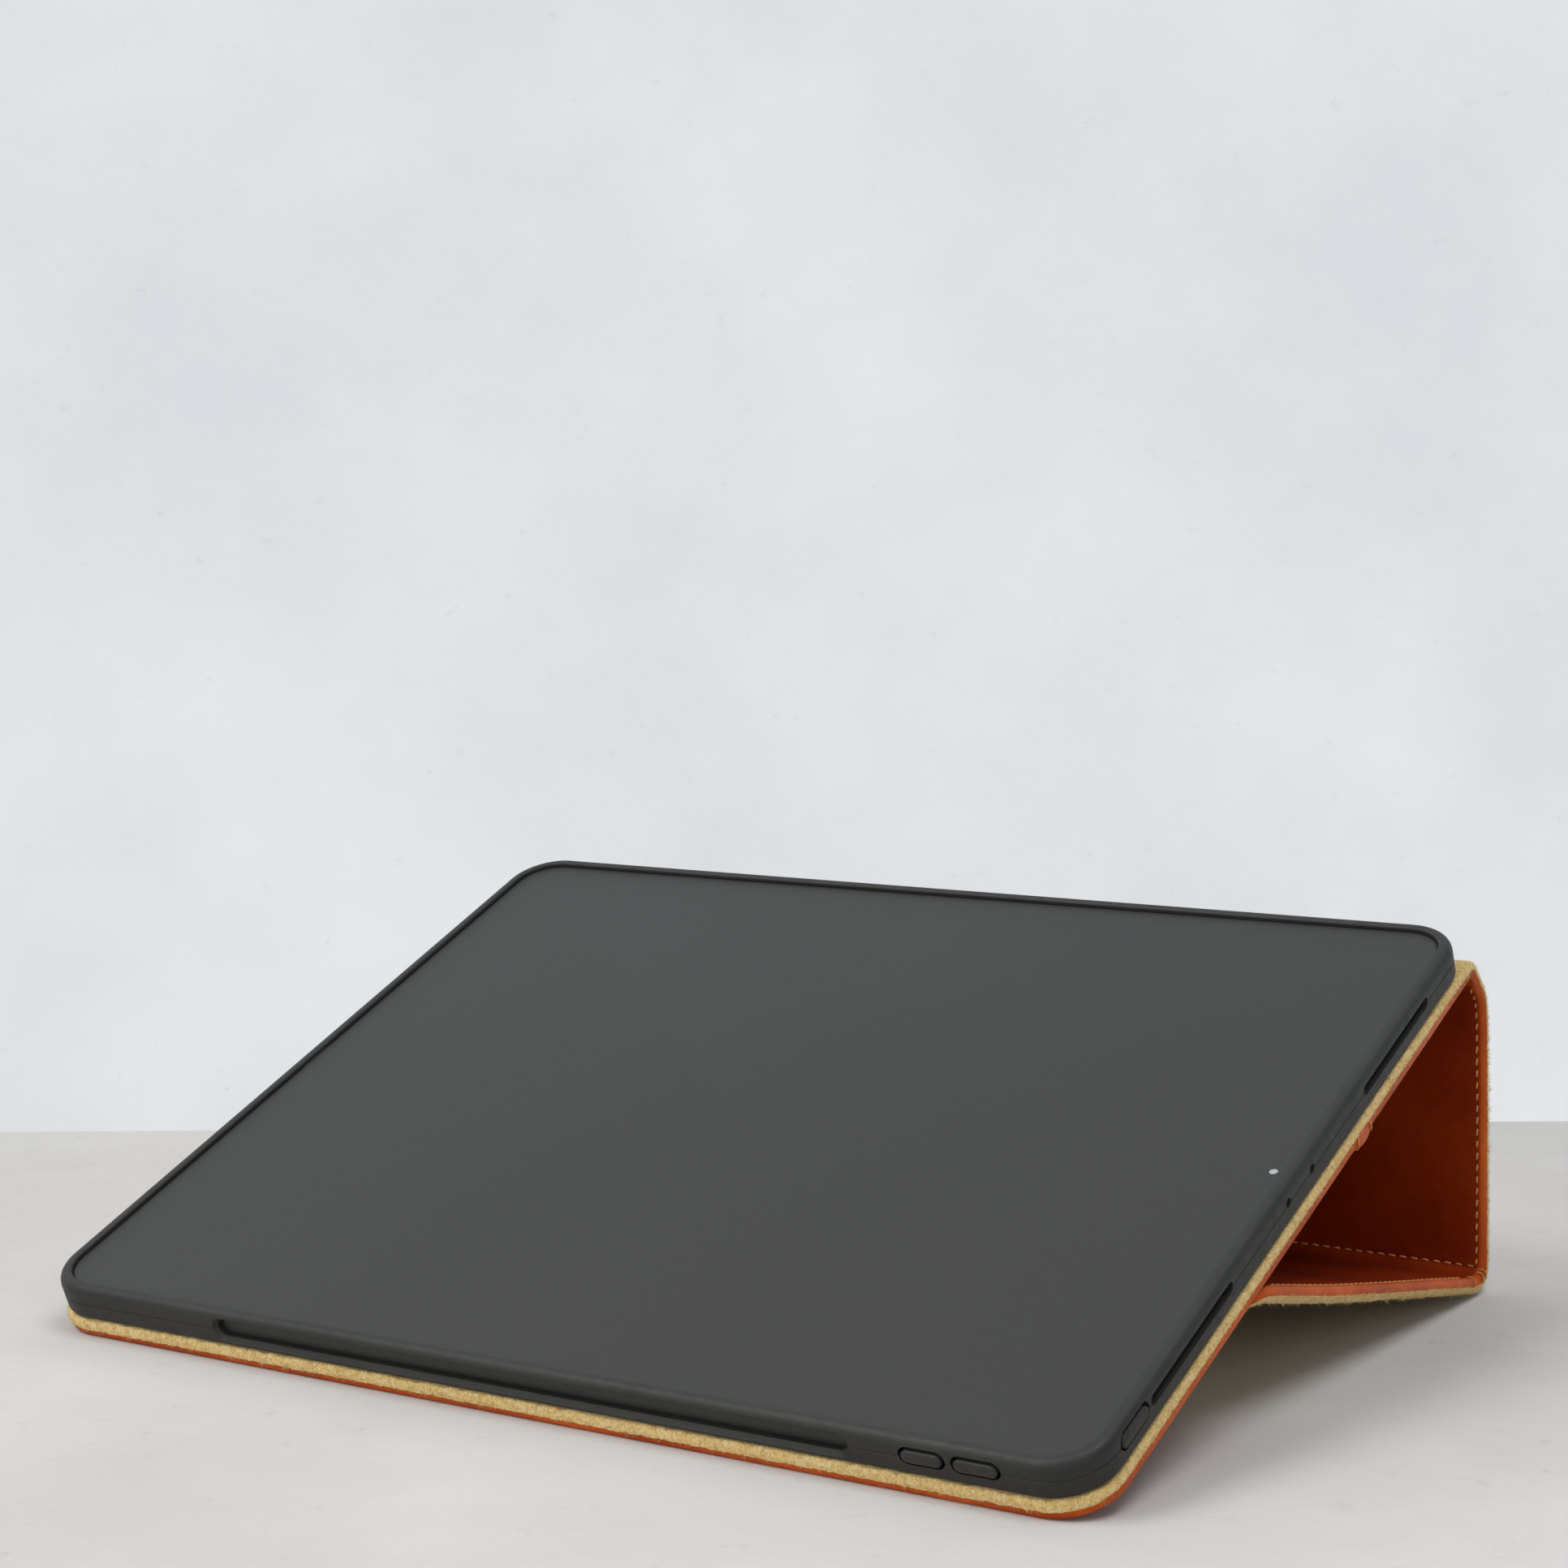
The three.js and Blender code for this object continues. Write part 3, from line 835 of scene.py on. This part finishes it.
def window_cutter():
    bm = bmesh.new()
    ring = window_ring(WINDOW)
    ring = [p for i, p in enumerate(ring) if math.dist(p, ring[i - 1]) > 1e-4]
    low = [bm.verts.new(on_back(x, y, SHELL_BASE - 1)) for x, y in ring]
    high = [bm.verts.new(on_back(x, y, SHELL_BASE + 3)) for x, y in ring]
    for i in range(len(ring)):
        j = (i + 1) % len(ring)
        bm.faces.new((low[i], low[j], high[j], high[i]))
    bm.faces.new(list(reversed(low)))
    bm.faces.new(high)
    bmesh.ops.recalc_face_normals(bm, faces=bm.faces)
    return bm


# Node, body, wall, place along the wall and length of each button.
BUTTON_LEVEL = 4.9
BUTTONS = [
    ("volume_down_button", "volume_down", "front", 104.4, 9.5),
    ("volume_up_button", "volume_up", "front", 116.9, 10.1),
    ("power_button", "power", "right", 20.7, 12.2),
]
# Openings as (wall, place along it, height above the tray's base, length, height).
RECESS = ("front", 0.0, 4.6, 172.4, 4.6)
RECESS_FLARE = [(-1.1, 0.0), (0.05, -1.05), (1.0, -1.05)]
CUT_FROM, CUT_TO = -5.0, 1.0
CUTS = [("left", 109.75, 4.9, 17.0, 5.8)]
CUTS += [
    (wall, at + 0.1, BUTTON_LEVEL + 0.2, length + 1.5, 4.3) for _, _, wall, at, length in BUTTONS
]
CUTS += [(wall, at, BUTTON_LEVEL, 42.0, 2.6) for wall in ("right", "left") for at in (49.8, 169.0)]
CUTS += [("right", at, BUTTON_LEVEL, 2.4, 2.2) for at in (102.1, 115.9)]


def baked(obj):
    """The object with its modifiers applied."""
    depsgraph = bpy.context.evaluated_depsgraph_get()
    mesh = bpy.data.meshes.new_from_object(obj.evaluated_get(depsgraph), depsgraph=depsgraph)
    obj.modifiers.clear()
    obj.data = mesh
    return obj


def build_tray():
    tray = to_object(tray_mesh(), "tray_body", 40)
    cutters = [to_object(pill_solid(*cut, CUT_FROM, CUT_TO), "cut", 40) for cut in CUTS]
    cutters.append(to_object(pill_solid(*RECESS, CUT_FROM, CUT_TO, taper=RECESS_FLARE), "cut", 40))
    cutters.append(to_object(window_cutter(), "cut", 40))
    for cutter in cutters:
        made = tray.modifiers.new("cut", "BOOLEAN")
        made.operation = "DIFFERENCE"
        made.solver = "EXACT"
        made.object = cutter
    soften = tray.modifiers.new("soften", "BEVEL")
    soften.limit_method = "ANGLE"
    soften.angle_limit = math.radians(42)
    soften.width = 0.28 * MM
    soften.segments = 3
    soften.use_clamp_overlap = True
    even = tray.modifiers.new("even", "WEIGHTED_NORMAL")
    even.keep_sharp = True
    baked(tray)
    for cutter in cutters:
        bpy.data.objects.remove(cutter)
    return tray


parts["tray_body"] = build_tray()

# A button's rounded face as (depth, inset), its height, and how deep it reaches.
CAP = [(0.0, 0.0), (0.08, 0.04), (0.2, 0.12), (0.3, 0.28), (0.37, 0.5), (0.4, 0.8)]
CAP_HEIGHT, CAP_FROM, CAP_TO = 3.0, -1.9, 0.4
for _, body, wall, at, length in BUTTONS:
    solid = pill_solid(wall, at, BUTTON_LEVEL, length, CAP_HEIGHT, CAP_FROM, CAP_TO, taper=CAP)
    parts[body + "_cap"] = to_object(solid, body + "_cap", 40)


# ---------------------------------------------------------------- materials


class Nodes:
    """Small helper that adds shader nodes and links whatever sockets it is given."""

    def __init__(self, name):
        self.mat = bpy.data.materials.new(name)
        self.mat.use_nodes = True
        self.tree = self.mat.node_tree
        self.shader = self.tree.nodes["Principled BSDF"]

    def add(self, kind, settings=None, **inputs):
        made = self.tree.nodes.new(kind)
        for key, value in (settings or {}).items():
            setattr(made, key, value)
        for key, value in inputs.items():
            self.put(made.inputs[key.replace("_", " ")], value)
        return made

    def put(self, socket, value):
        if isinstance(value, bpy.types.NodeSocket):
            self.tree.links.new(value, socket)
        else:
            socket.default_value = value

    def set(self, **inputs):
        for key, value in inputs.items():
            self.put(self.shader.inputs[key.replace("_", " ")], value)
        return self.mat

    def millimetres(self, stretch=(1, 1, 1)):
        coord = self.add("ShaderNodeTexCoord")
        scale = tuple(1000 * k for k in stretch)
        return self.add("ShaderNodeMapping", Vector=coord.outputs["Object"], Scale=scale).outputs["Vector"]

    def noise(self, where, scale, detail=3.0, roughness=0.5):
        made = self.add("ShaderNodeTexNoise", Vector=where, Scale=scale, Detail=detail, Roughness=roughness)
        return made.outputs["Fac"]

    def cells(self, where, scale, feature="F1"):
        made = self.add("ShaderNodeTexVoronoi", {"feature": feature}, Vector=where, Scale=scale)
        return made.outputs["Distance"]

    def ramp(self, value, stops):
        made = self.add("ShaderNodeValToRGB", Fac=value)
        stops = [(p, (*c, 1.0) if hasattr(c, "__len__") else (c, c, c, 1.0)) for p, c in stops]
        ramp = made.color_ramp
        ramp.elements[0].position, ramp.elements[0].color = stops[0]
        ramp.elements[1].position, ramp.elements[1].color = stops[-1]
        for position, colour in stops[1:-1]:
            ramp.elements.new(position).color = colour
        return made.outputs["Color"]

    def math(self, operation, a, b=0.0):
        made = self.add("ShaderNodeMath", {"operation": operation})
        self.put(made.inputs[0], a)
        self.put(made.inputs[1], b)
        return made.outputs[0]

    def mix(self, fac, a, b, blend="MIX"):
        made = self.add("ShaderNodeMix", {"data_type": "RGBA", "blend_type": blend})
        for socket, value in zip((made.inputs[0], made.inputs[6], made.inputs[7]), (fac, a, b)):
            if hasattr(value, "__len__") and not isinstance(value, bpy.types.NodeSocket):
                value = (*value, 1.0)
            self.put(socket, value)
        return made.outputs[2]

    def bump(self, height, distance, strength=1.0, normal=None):
        made = self.add("ShaderNodeBump", Height=height, Distance=distance * MM, Strength=strength)
        if normal is not None:
            self.put(made.inputs["Normal"], normal)
        return made.outputs["Normal"]


# Away from its side edges, the leather's colour is multiplied by one of these; the darker one is painted
# shade, and the side edges keep the plain colour.
PLAIN, PAINTED_SHADE = (1.0, 1.0, 1.0), (0.44, 0.25, 0.17)
UNSHADED_EDGE = 1.6


def grain_leather(name, tone=1.0, middle=PLAIN):
    """Oiled leather with pores, fine creases and cloudy colour, with painted shade away from the side edges
    when given a darker middle.
    """
    n = Nodes(name)
    where = n.millimetres()
    broad = n.noise(where, 0.035, 4.0)
    cloud = n.noise(where, 0.22, 5.0, 0.6)
    light, mid, deep = (0.62, 0.125, 0.018), (0.52, 0.092, 0.011), (0.38, 0.056, 0.006)
    light, mid, deep = (tuple(k * tone for k in colour) for colour in (light, mid, deep))
    base = n.ramp(broad, [(0.30, deep), (0.5, mid), (0.72, light)])
    base = n.mix(n.ramp(cloud, [(0.35, 0.0), (0.75, 0.45)]), base, deep)
    # Painted shade: beyond a narrow band at the side edges, the colour is multiplied by the middle colour.
    across = n.add("ShaderNodeSeparateXYZ", Vector=where).outputs["X"]
    inner = n.math("SUBTRACT", HALF_WIDTH - UNSHADED_EDGE, n.math("ABSOLUTE", across))
    shaded_middle = n.mix(1.0, base, middle, "MULTIPLY")
    base = n.mix(n.ramp(inner, [(0.0, 0.0), (1.0, 1.0)]), base, shaded_middle)
    creases = n.cells(where, 1.5, "DISTANCE_TO_EDGE")
    pores = n.noise(where, 4.2, 4.0, 0.65)
    grain = n.ramp(creases, [(0.0, 0.0), (0.12, 1.0)])
    height = n.math("ADD", n.math("MULTIPLY", grain, 0.5), n.math("MULTIPLY", pores, 0.8))
    normal = n.bump(height, 0.05, 0.55)
    normal = n.bump(n.noise(where, 0.35, 3.0), 0.35, 0.25, normal)
    rough = n.ramp(cloud, [(0.3, 0.38), (0.7, 0.54)])
    return n.set(Base_Color=base, Roughness=rough, Normal=normal, Specular_IOR_Level=0.14)


def suede(name):
    n = Nodes(name)
    where = n.millimetres()
    fibre = n.noise(n.millimetres((1.0, 1.0, 0.45)), 3.4, 5.0, 0.7)
    clump = n.noise(where, 1.1, 4.0, 0.6)
    broad = n.noise(where, 0.12, 3.0)
    dark, straw, pale = (0.52, 0.30, 0.08), (0.90, 0.62, 0.23), (1.0, 0.84, 0.45)
    base = n.ramp(fibre, [(0.32, dark), (0.5, straw), (0.68, pale)])
    base = n.mix(n.ramp(clump, [(0.48, 0.0), (0.64, 0.6)]), base, (0.52, 0.30, 0.075))
    tufts = n.noise(where, 0.8, 3.0, 0.6)
    base = n.mix(n.ramp(tufts, [(0.5, 0.0), (0.64, 0.55)]), base, (1.0, 0.84, 0.46))
    base = n.mix(n.ramp(broad, [(0.4, 0.0), (0.7, 0.25)]), base, (0.95, 0.74, 0.36))
    height = n.math("ADD", fibre, n.math("MULTIPLY", clump, 1.4))
    return n.set(
        Base_Color=base,
        Roughness=1.0,
        Normal=n.bump(height, 0.5, 1.0),
        Sheen_Weight=0.45,
        Sheen_Roughness=0.5,
        Sheen_Tint=(1.0, 0.85, 0.55, 1.0),
        Specular_IOR_Level=0.1,
    )


def moulded(name, tone=1.0):
    n = Nodes(name)
    where = n.millimetres()
    broad = n.noise(where, 0.06, 3.0)
    base = n.ramp(broad, [(0.3, 0.015 * tone), (0.7, 0.021 * tone)])
    speck = n.noise(where, 7.0, 3.0, 0.6)
    rough = n.ramp(n.noise(where, 0.5, 4.0), [(0.3, 0.50), (0.7, 0.62)])
    normal = n.bump(speck, 0.03, 0.5)
    return n.set(Base_Color=base, Roughness=rough, Normal=normal, Specular_IOR_Level=0.4)


def thread(name):
    n = Nodes(name)
    where = n.millimetres()
    bands = {"bands_direction": "DIAGONAL"}
    twist = n.add("ShaderNodeTexWave", bands, Vector=where, Scale=1.6, Distortion=1.5).outputs["Fac"]
    base = n.ramp(twist, [(0.2, (0.38, 0.13, 0.03)), (0.8, (0.74, 0.34, 0.10))])
    return n.set(Base_Color=base, Roughness=0.75, Normal=n.bump(twist, 0.06, 0.6))


def microfibre(name):
    n = Nodes(name)
    where = n.millimetres()
    fine = n.noise(where, 5.0, 4.0, 0.7)
    base = n.ramp(fine, [(0.3, (0.055, 0.055, 0.06)), (0.7, (0.12, 0.12, 0.13))])
    return n.set(
        Base_Color=base,
        Roughness=1.0,
        Normal=n.bump(fine, 0.12, 0.7),
        Sheen_Weight=0.4,
        Specular_IOR_Level=0.15,
    )


def fibre_board(name):
    n = Nodes(name)
    where = n.millimetres()
    fine = n.noise(where, 1.4, 5.0, 0.7)
    base = n.ramp(fine, [(0.3, (0.15, 0.10, 0.06)), (0.7, (0.28, 0.20, 0.12))])
    return n.set(Base_Color=base, Roughness=0.9, Normal=n.bump(fine, 0.1, 0.6))


def nickel(name):
    n = Nodes(name)
    where = n.millimetres((0.2, 3.0, 1.0))
    brushed = n.noise(where, 2.0, 3.0)
    base = n.ramp(brushed, [(0.3, 0.50), (0.7, 0.62)])
    return n.set(Base_Color=base, Metallic=1.0, Roughness=n.ramp(brushed, [(0.3, 0.24), (0.7, 0.38)]))


MATERIALS = {
    "grain_leather": grain_leather("grain_leather"),
    # inner_leather and fold_leather are shaded copies of the grain leather: painted shade away from their
    # side edges.
    "inner_leather": grain_leather("inner_leather", 1.0, PAINTED_SHADE),
    "fold_leather": grain_leather("fold_leather", 1.05, PAINTED_SHADE),
    "suede": suede("suede"),
    "tpu": moulded("tpu"),
    "button": moulded("button", 1.1),
    "thread": thread("thread"),
    "lining": microfibre("lining"),
    "board": fibre_board("board"),
    "magnet": nickel("magnet"),
}

LOOK = {
    "back_grain": "grain_leather",
    # The stand's inner faces, the fold and the back's fold ridge use the copies with painted shade.
    "strut_grain": "inner_leather",
    "flap_grain": "inner_leather",
    "fold_grain": "fold_leather",
    "back_fold_ridge": "fold_leather",
    "fold_wraps": "thread",
    "strip_wraps": "thread",
    "tray_body": "tpu",
}
for name, obj in parts.items():
    look = LOOK.get(name)
    if look is None:
        look = "thread" if "stitches" in name else "button" if name.endswith("_cap") else "suede"
    dress(obj, MATERIALS[look])

slots = {row["node"]: row["material_slot"] for row in frame["record"]["subparts"]}
for name, obj in nodes.items():
    obj.data.materials.clear()
    obj.data.materials.append(MATERIALS[slots[name]])


# ---------------------------------------------------------------- what moves with what


for name in ("back_grain", "back_suede_side", "back_nap"):
    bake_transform(parts[name])
for name in ("strut_grain", "strut_suede_side", "strut_nap", "strut_stitches"):
    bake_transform(parts[name])
for name in ("fold_grain", "fold_suede_side", "fold_nap", "fold_wraps"):
    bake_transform(parts[name])
for name in ("flap_grain", "flap_suede_side", "flap_nap", "flap_stitches"):
    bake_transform(parts[name])
for name in ("back_stitches", "back_fold_ridge", "strip_wraps"):
    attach(parts[name], "case")
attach(parts["tray_body"], "case")
for _, body, *_ in BUTTONS:
    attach(parts[body + "_cap"], body)

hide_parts("back_leather_lower", "back_leather_upper", "spine_leather")
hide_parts("back_suede", "spine_suede")
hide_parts("strut_leather", "strut_board")
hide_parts("strut_suede")
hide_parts("cover_fold_strip")
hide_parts("flap_leather", "edge_leather")
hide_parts("flap_suede", "edge_suede")
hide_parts("back_thread_lower", "back_thread_upper")
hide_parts("strut_thread")
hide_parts("flap_thread")
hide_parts("back_fold_strip")
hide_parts("tray_shell")
for node, body, *_ in BUTTONS:
    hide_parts(node)


# ---------------------------------------------------------------- stage, light and camera


def stage_tablet():
    """A plain dark slab that fills the tray. It isn't part of the case."""
    bm = bmesh.new()
    profile = [(2.9, 3.56), (2.46, 3.7), (2.46, 9.2), (2.6, 9.6)]
    profile += [(2.9, 9.9), (3.45, 10.0), (3.65, 10.15), (3.95, 10.2)]
    rows = [[bm.verts.new(on_back(x, y, n)) for x, y, _ in tray_ring(e, 0)] for e, n in profile]
    count = len(rows[0])
    for a, b in zip(rows, rows[1:]):
        for i in range(count):
            j = (i + 1) % count
            bm.faces.new((a[i], a[j], b[j], b[i]))
    bm.faces.new(list(reversed(rows[0])))
    screen = bm.faces.new(rows[-1])
    screen.material_index = 1
    bmesh.ops.recalc_face_normals(bm, faces=bm.faces)
    slab = to_object(bm, "stage_slab", 30)
    n = Nodes("stage_rim")
    speck = n.noise(n.millimetres(), 2.0, 3.0)
    dress(slab, n.set(Base_Color=n.ramp(speck, [(0.3, 0.017), (0.7, 0.023)]), Roughness=0.5))
    n = Nodes("stage_screen")
    cloud = n.noise(n.millimetres(), 0.02, 3.0)
    tone = n.ramp(cloud, [(0.3, 0.072), (0.7, 0.078)])
    slab.data.materials.append(n.set(Base_Color=tone, Roughness=0.6, Specular_IOR_Level=0.1))
    slab.parent = frame["bodies"]["case"]
    dot_bm = bmesh.new()
    bmesh.ops.create_circle(dot_bm, cap_ends=True, segments=24, radius=1.0 * MM)
    dot = to_object(dot_bm, "stage_dot")
    dot.rotation_euler = (TILT, 0, 0)
    dot.location = on_back(137.1, 108.8, 10.24)
    dress(dot, Nodes("stage_dot").set(Base_Color=(0.35, 0.36, 0.38, 1), Roughness=0.4))
    dot.parent = frame["bodies"]["case"]


stage_tablet()


CAMERA_AT = (0.421072, -0.657042, 0.208408)
CAMERA_TURN = (math.radians(84.3587), math.radians(0.2915), math.radians(32.4773))
CAMERA_LENS = 73.557
SENSOR_WIDTH = 36


def floor():
    bm = bmesh.new()
    bmesh.ops.create_grid(bm, x_segments=1, y_segments=1, size=2.0)
    made = to_object(bm, "floor")
    made.location = (0, 0, -0.0001)
    n = Nodes("floor")
    where = n.millimetres()
    cloud = n.noise(where, 0.006, 5.0, 0.6)
    tone = n.ramp(cloud, [(0.3, (0.49, 0.485, 0.48)), (0.7, (0.58, 0.575, 0.57))])
    pits = n.ramp(n.noise(where, 0.11, 6.0, 0.7), [(0.60, 0.0), (0.74, 0.35)])
    tone = n.mix(pits, tone, (0.30, 0.295, 0.29))
    normal = n.bump(n.noise(where, 0.2, 5.0, 0.65), 0.5, 0.3)
    dress(made, n.set(Base_Color=tone, Roughness=0.75, Specular_IOR_Level=0.25, Normal=normal))


def wall():
    """A pale plastered wall behind the case, seen from the front only."""
    bm = bmesh.new()
    bmesh.ops.create_grid(bm, x_segments=1, y_segments=1, size=2.5)
    made = to_object(bm, "wall")
    made.rotation_euler = (math.radians(90), 0, math.radians(33.0))
    made.location = (-0.1176, 0.189, 0)
    n = Nodes("wall")
    where = n.millimetres()
    cloud = n.noise(where, 0.006, 6.0, 0.6)
    tone = n.ramp(cloud, [(0.3, (0.70, 0.72, 0.75)), (0.7, (0.83, 0.84, 0.86))])
    pits = n.ramp(n.noise(where, 0.12, 6.0, 0.75), [(0.62, 0.0), (0.76, 0.3)])
    tone = n.mix(pits, tone, (0.42, 0.43, 0.46))
    n.set(Base_Color=(0, 0, 0, 1), Roughness=1.0, Specular_IOR_Level=0.0)
    n.set(Emission_Color=tone, Emission_Strength=0.97)
    clear = n.add("ShaderNodeBsdfTransparent")
    side = n.add("ShaderNodeNewGeometry")
    both = n.add("ShaderNodeMixShader", Fac=side.outputs["Backfacing"])
    n.tree.links.new(n.shader.outputs[0], both.inputs[1])
    n.tree.links.new(clear.outputs[0], both.inputs[2])
    n.tree.links.new(both.outputs[0], n.tree.nodes["Material Output"].inputs["Surface"])
    dress(made, n.mat)


floor()
wall()


def lamp(name, location, target, size, power, colour=(1, 1, 1)):
    light = bpy.data.lights.new(name, "AREA")
    light.shape = "DISK"
    light.size = size
    light.energy = power
    light.color = colour
    made = bpy.data.objects.new(name, light)
    made.location = location
    made.rotation_euler = (Vector(target) - Vector(location)).to_track_quat("-Z", "Y").to_euler()
    bpy.context.scene.collection.objects.link(made)


lamp("key", (-0.60, -0.85, 1.30), (0, 0, 0.04), 0.8, 13, (1.0, 0.985, 0.96))
lamp("front", (-0.35, -1.35, 0.50), (0, 0, 0.03), 1.0, 5, (1.0, 0.99, 0.97))
lamp("fill", (1.15, -0.95, 0.50), (0, 0, 0.03), 1.0, 4.0, (1.0, 0.99, 0.97))
lamp("top", (0.55, -0.25, 1.35), (0, 0, 0.05), 0.8, 9)

world = bpy.data.worlds.new("soft")
world.use_nodes = True
world.node_tree.nodes["Background"].inputs["Color"].default_value = (0.92, 0.94, 0.97, 1)
world.node_tree.nodes["Background"].inputs["Strength"].default_value = 0.15
bpy.context.scene.world = world
bpy.context.scene.view_settings.view_transform = "Standard"

camera_data = bpy.data.cameras.new("camera")
camera_data.lens = CAMERA_LENS
camera_data.sensor_width = SENSOR_WIDTH
camera = bpy.data.objects.new("camera", camera_data)
camera.location = CAMERA_AT
camera.rotation_euler = CAMERA_TURN
bpy.context.scene.collection.objects.link(camera)
bpy.context.scene.camera = camera
